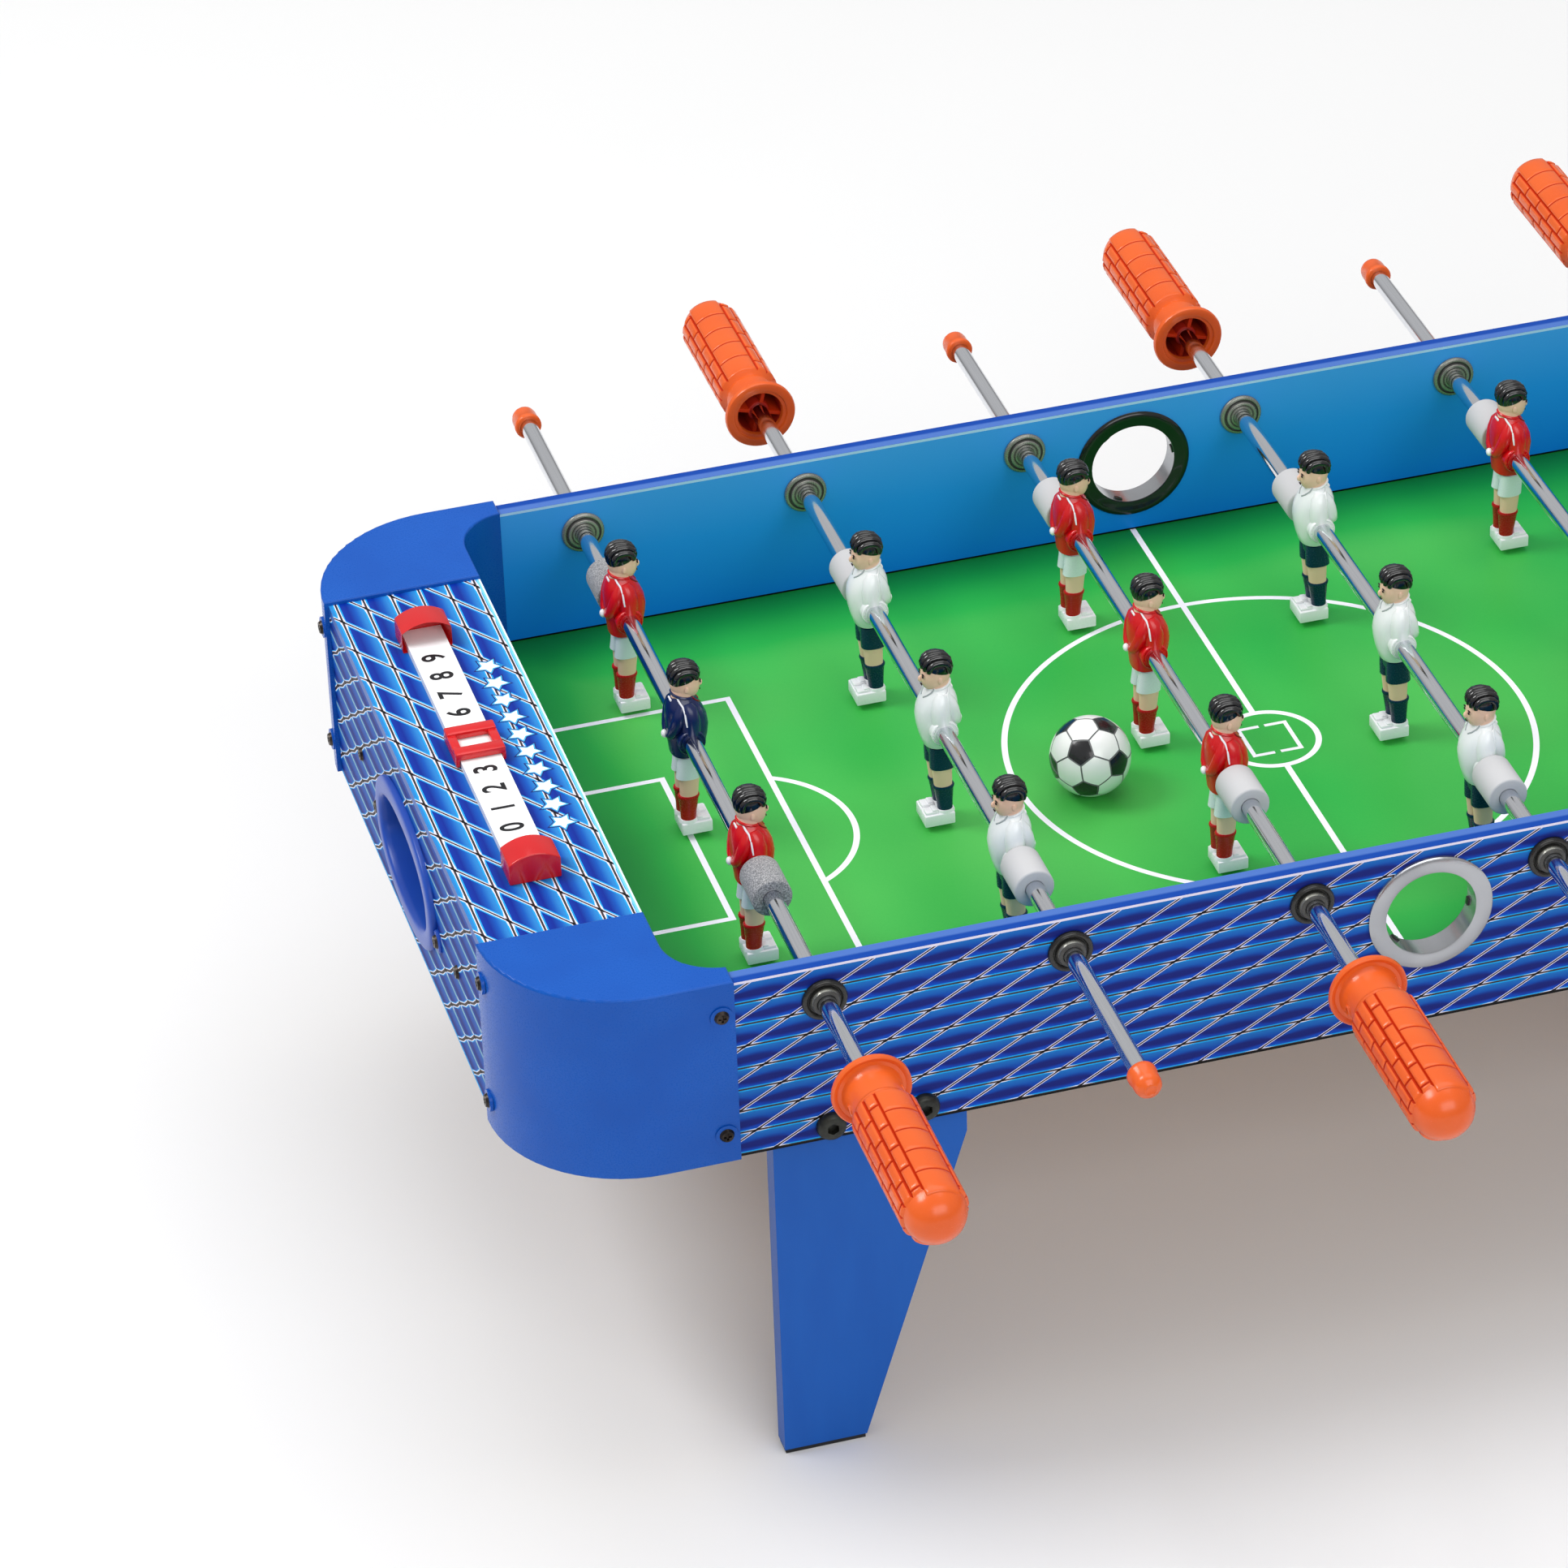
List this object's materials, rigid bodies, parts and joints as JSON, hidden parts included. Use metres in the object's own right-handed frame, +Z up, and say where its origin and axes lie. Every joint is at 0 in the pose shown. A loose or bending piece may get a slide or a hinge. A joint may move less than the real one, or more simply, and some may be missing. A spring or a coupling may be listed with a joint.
{
  "type": "tabletop foosball",
  "caption": "Tabletop foosball with sliding, spinning rods of players over a green field, score counters, ball returns and flat legs.",
  "frame": {"origin": "middle of the footprint at the surface that the feet stand on", "axes": "+X along the playing field from one goal to the other, +Y across it towards the far side wall, +Z up"},
  "size_m": [0.692, 0.627, 0.2406],
  "materials": {
    "printed_board": "laminated fibreboard with a printed lattice",
    "blue_board": "laminated fibreboard, satin",
    "field_print": "printed green playing field with white lines",
    "blue_plastic": "moulded, satin gloss",
    "dark_screw": "dark plated cross-head screw",
    "black_bolt": "black oxide socket button head",
    "zinc_nut": "zinc plated",
    "pad_rubber": "soft pad",
    "black_plastic": "moulded, satin",
    "grey_plastic": "moulded, silver grey",
    "white_plastic": "moulded, black digits",
    "red_plastic": "moulded, gloss",
    "ball_plastic": "white with black panels",
    "chrome_tube": "polished plating",
    "orange_plastic": "moulded, satin gloss",
    "bumper_foam": "fine speckled foam rubber, matt",
    "red_team": "moulded and painted figure in red",
    "white_team": "moulded and painted figure in white"
  },
  "bodies": {
    "root": {"side_wall_front": "printed_board", "side_wall_back": "printed_board", "playfield": "field_print", "end_panel_left": "printed_board", "end_panel_right": "printed_board", "goal_wall_left": "blue_board", "goal_wall_right": "blue_board", "end_cover_left": "printed_board", "end_cover_right": "printed_board", "corner_guards": "blue_plastic", "guard_screws": "dark_screw", "panel_screws": "dark_screw", "return_screws": "dark_screw", "legs": "blue_board", "foot_pads": "pad_rubber", "leg_bolts": "black_bolt", "leg_nuts": "zinc_nut", "ball_returns": "blue_plastic", "entry_flanges": "black_plastic", "entry_sleeves": "grey_plastic", "rod_bushes": "grey_plastic", "lock_rings": "black_plastic", "score_rails": "white_plastic", "score_brackets": "red_plastic"},
    "rod_1_slider": {"rod_1_bumpers": "bumper_foam"},
    "rod_1": {"rod_1_tube": "chrome_tube", "rod_1_handle": "orange_plastic", "rod_1_cap": "orange_plastic", "rod_1_players": "red_team"},
    "rod_2_slider": {"rod_2_bumpers": "bumper_foam"},
    "rod_2": {"rod_2_tube": "chrome_tube", "rod_2_handle": "orange_plastic", "rod_2_cap": "orange_plastic", "rod_2_players": "white_team"},
    "rod_3_slider": {"rod_3_bumpers": "bumper_foam"},
    "rod_3": {"rod_3_tube": "chrome_tube", "rod_3_handle": "orange_plastic", "rod_3_cap": "orange_plastic", "rod_3_players": "red_team"},
    "rod_4_slider": {"rod_4_bumpers": "bumper_foam"},
    "rod_4": {"rod_4_tube": "chrome_tube", "rod_4_handle": "orange_plastic", "rod_4_cap": "orange_plastic", "rod_4_players": "white_team"},
    "rod_5_slider": {"rod_5_bumpers": "bumper_foam"},
    "rod_5": {"rod_5_tube": "chrome_tube", "rod_5_handle": "orange_plastic", "rod_5_cap": "orange_plastic", "rod_5_players": "red_team"},
    "rod_6_slider": {"rod_6_bumpers": "bumper_foam"},
    "rod_6": {"rod_6_tube": "chrome_tube", "rod_6_handle": "orange_plastic", "rod_6_cap": "orange_plastic", "rod_6_players": "white_team"},
    "score_left": {"score_slider_left": "red_plastic"},
    "score_right": {"score_slider_right": "red_plastic"},
    "ball": {"ball": "ball_plastic"}
  },
  "joints": [
    {"name": "rod_1_slide", "type": "slide", "parent": "root", "child": "rod_1_slider", "axis": [0, 1, 0], "range_m": [-0.0557, 0.0307]},
    {"name": "rod_1_spin", "type": "hinge", "parent": "rod_1_slider", "child": "rod_1", "pos_m": [-0.23, 0, 0.2096], "axis": [0, 1, 0], "continuous": true},
    {"name": "rod_2_slide", "type": "slide", "parent": "root", "child": "rod_2_slider", "axis": [0, 1, 0], "range_m": [-0.0307, 0.0557]},
    {"name": "rod_2_spin", "type": "hinge", "parent": "rod_2_slider", "child": "rod_2", "pos_m": [-0.138, 0, 0.2096], "axis": [0, 1, 0], "continuous": true},
    {"name": "rod_3_slide", "type": "slide", "parent": "root", "child": "rod_3_slider", "axis": [0, 1, 0], "range_m": [-0.0557, 0.0307]},
    {"name": "rod_3_spin", "type": "hinge", "parent": "rod_3_slider", "child": "rod_3", "pos_m": [-0.046, 0, 0.2096], "axis": [0, 1, 0], "continuous": true},
    {"name": "rod_4_slide", "type": "slide", "parent": "root", "child": "rod_4_slider", "axis": [0, 1, 0], "range_m": [-0.0307, 0.0557]},
    {"name": "rod_4_spin", "type": "hinge", "parent": "rod_4_slider", "child": "rod_4", "pos_m": [0.046, 0, 0.2096], "axis": [0, 1, 0], "continuous": true},
    {"name": "rod_5_slide", "type": "slide", "parent": "root", "child": "rod_5_slider", "axis": [0, 1, 0], "range_m": [-0.0557, 0.0307]},
    {"name": "rod_5_spin", "type": "hinge", "parent": "rod_5_slider", "child": "rod_5", "pos_m": [0.138, 0, 0.2096], "axis": [0, 1, 0], "continuous": true},
    {"name": "rod_6_slide", "type": "slide", "parent": "root", "child": "rod_6_slider", "axis": [0, 1, 0], "range_m": [-0.0307, 0.0557]},
    {"name": "rod_6_spin", "type": "hinge", "parent": "rod_6_slider", "child": "rod_6", "pos_m": [0.23, 0, 0.2096], "axis": [0, 1, 0], "continuous": true},
    {"name": "score_left_slide", "type": "slide", "parent": "root", "child": "score_left", "axis": [0, 1, 0], "range_m": [-0.067, 0.0638]},
    {"name": "score_right_slide", "type": "slide", "parent": "root", "child": "score_right", "axis": [0, -1, 0], "range_m": [-0.067, 0.0638]},
    {"name": "ball_roll", "type": "slide", "parent": "root", "child": "ball", "axis": [1, 0, 0], "range_m": [-0.036, 0.098]}
  ]
}
